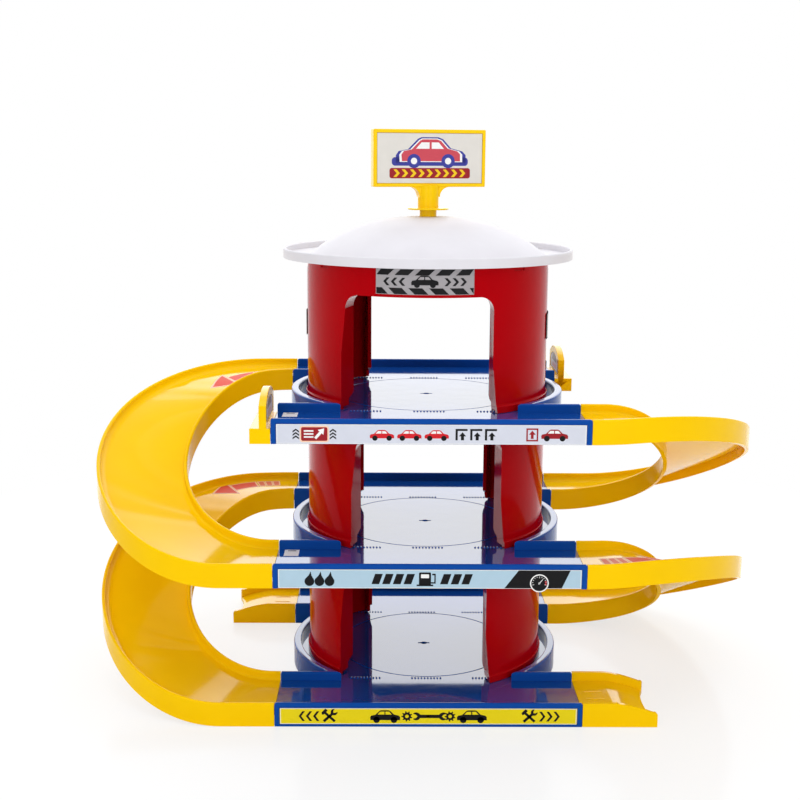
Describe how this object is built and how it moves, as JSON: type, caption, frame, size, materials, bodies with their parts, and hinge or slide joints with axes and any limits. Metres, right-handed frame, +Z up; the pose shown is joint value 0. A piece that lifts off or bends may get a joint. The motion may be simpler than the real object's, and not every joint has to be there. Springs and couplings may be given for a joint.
{
  "type": "toy parking garage",
  "caption": "Toy parking garage with stacked decks on open drum storeys, half-turn ramps at both sides, run-off wedges, end stops and a domed lid with a turning sign.",
  "frame": {"origin": "on the floor, on the vertical axis of the drum storeys, the lid and the sign", "axes": "+X to the right along the front strips, +Y away from the front towards the back strips, +Z up"},
  "size_m": [0.4344, 0.224, 0.3597],
  "materials": {
    "deck_blue": "polished injection-moulded plastic",
    "storey_red": "polished injection-moulded plastic",
    "lid_white": "polished injection-moulded plastic",
    "sign_yellow": "injection-moulded plastic",
    "ramp_yellow": "injection-moulded plastic",
    "card_white": "printed card with a satin coat",
    "label_yellow": "printed film with a satin coat",
    "label_sky": "printed film with a satin coat",
    "label_grey": "printed film with a satin coat",
    "plate_grey": "printed film with a satin coat",
    "plate_black": "printed film with a satin coat"
  },
  "bodies": {
    "garage": {"base_deck": "deck_blue", "middle_deck": "deck_blue", "top_deck": "deck_blue", "storey_lower": "storey_red", "storey_middle": "storey_red", "storey_upper": "storey_red", "roof_lid": "lid_white", "ramp_left_upper": "ramp_yellow", "ramp_left_lower": "ramp_yellow", "ramp_right_upper": "ramp_yellow", "ramp_right_lower": "ramp_yellow", "exit_wedge_front": "ramp_yellow", "exit_wedge_back": "ramp_yellow", "end_stop_front": "ramp_yellow", "end_stop_back": "ramp_yellow", "stop_card_front": "card_white", "stop_card_back": "card_white", "label_base": "label_yellow", "label_middle": "label_sky", "label_top": "label_grey", "hazard_plate": "plate_grey", "side_plate_left": "plate_black", "side_plate_right": "plate_black"},
    "sign": {"sign_board": "sign_yellow", "sign_face": "card_white"}
  },
  "joints": [
    {"name": "sign_turn", "type": "hinge", "parent": "garage", "child": "sign", "pos_m": [0, 0, 0.3042], "axis": [0, 0, 1], "continuous": true}
  ]
}
